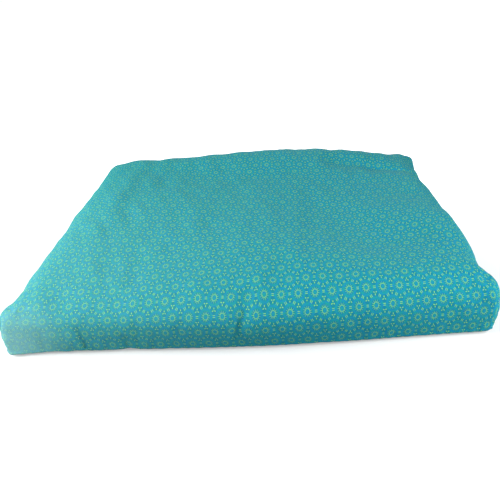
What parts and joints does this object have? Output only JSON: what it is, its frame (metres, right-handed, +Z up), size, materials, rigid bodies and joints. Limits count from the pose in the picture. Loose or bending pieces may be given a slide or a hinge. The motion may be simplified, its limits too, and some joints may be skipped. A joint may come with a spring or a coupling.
{
  "type": "zabuton",
  "caption": "Large flat stuffed floor cushion with soft rounded edges, eared corners and a small sunburst print on teal cotton.",
  "frame": {"origin": "on the resting face, under the middle of the cushion's box", "axes": "+X along the width, the longest side; front wall faces -Y; +Z up out of the top"},
  "size_m": [0.8577, 0.7634, 0.1409],
  "materials": {
    "printed_cotton": "matt plain-woven cotton, printed in yellow-green on a teal to turquoise ground"
  },
  "bodies": {
    "root": {"cushion": "printed_cotton"}
  },
  "joints": []
}
